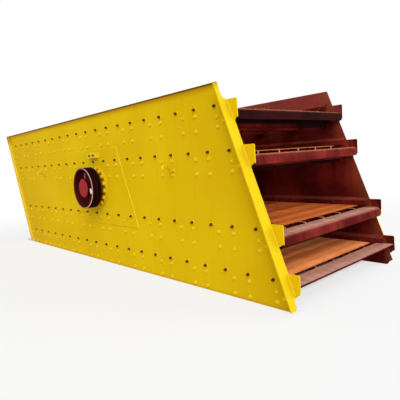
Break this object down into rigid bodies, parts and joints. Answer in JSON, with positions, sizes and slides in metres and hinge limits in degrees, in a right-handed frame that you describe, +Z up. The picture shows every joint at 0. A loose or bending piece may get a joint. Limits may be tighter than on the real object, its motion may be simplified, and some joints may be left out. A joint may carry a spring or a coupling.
{
  "type": "vibrating screen",
  "caption": "Inclined vibrating screen box with slanted side plates, stacked mesh decks with discharge lips, and a cross-shaft exciter driven by a grooved pulley.",
  "frame": {"origin": "on the floor, under the middle of the whole length and between the side plates", "axes": "+X along the decks towards the discharge end, -Y to the drive side, +Z up"},
  "size_m": [7.0382, 2.404, 2.13],
  "materials": {
    "yellow_paint": "semi-gloss paint with dust",
    "red_primer": "matt dark red primer, dusty",
    "rusty_mesh_wire": "rusted woven wire",
    "bare_steel": "turned steel",
    "dark_red_casting": "dark red paint, worn in the grooves",
    "bright_red_paint": "semi-gloss red paint"
  },
  "bodies": {
    "screen_box": {"drive_side_plate": "yellow_paint", "far_side_plate": "yellow_paint", "drive_doubler": "yellow_paint", "far_doubler": "yellow_paint", "drive_discharge_flange": "yellow_paint", "far_discharge_flange": "yellow_paint", "drive_feed_flange": "yellow_paint", "far_feed_flange": "yellow_paint", "feed_end_plate": "red_primer", "deck1_mesh": "rusty_mesh_wire", "deck2_mesh": "rusty_mesh_wire", "deck3_mesh": "rusty_mesh_wire", "deck4_mesh": "rusty_mesh_wire", "deck1_stringers": "red_primer", "deck2_stringers": "red_primer", "deck3_stringers": "red_primer", "deck4_stringers": "red_primer", "deck1_cross_beams": "red_primer", "deck2_cross_beams": "red_primer", "deck3_cross_beams": "red_primer", "deck4_cross_beams": "red_primer", "deck1_discharge_lip": "red_primer", "deck2_discharge_lip": "red_primer", "deck3_discharge_lip": "red_primer", "deck4_discharge_lip": "red_primer", "deck1_cheeks": "yellow_paint", "deck2_cheeks": "yellow_paint", "deck3_cheeks": "yellow_paint", "deck4_cheeks": "yellow_paint", "deck1_side_rails": "red_primer", "deck2_side_rails": "red_primer", "deck3_side_rails": "red_primer", "deck4_side_rails": "red_primer", "exciter_tube": "red_primer", "drive_bearing_housing": "yellow_paint", "far_bearing_housing": "yellow_paint", "drive_lifting_hooks": "yellow_paint", "far_lifting_hooks": "yellow_paint", "grease_blocks": "yellow_paint"},
    "exciter_rotor": {"exciter_shaft": "bare_steel", "drive_pulley": "dark_red_casting", "far_flywheel": "dark_red_casting", "hub_covers": "bright_red_paint"}
  },
  "joints": [
    {"name": "exciter_spin", "type": "hinge", "parent": "screen_box", "child": "exciter_rotor", "pos_m": [0.13601, 0, 1.1], "axis": [0, 1, 0], "continuous": true}
  ]
}
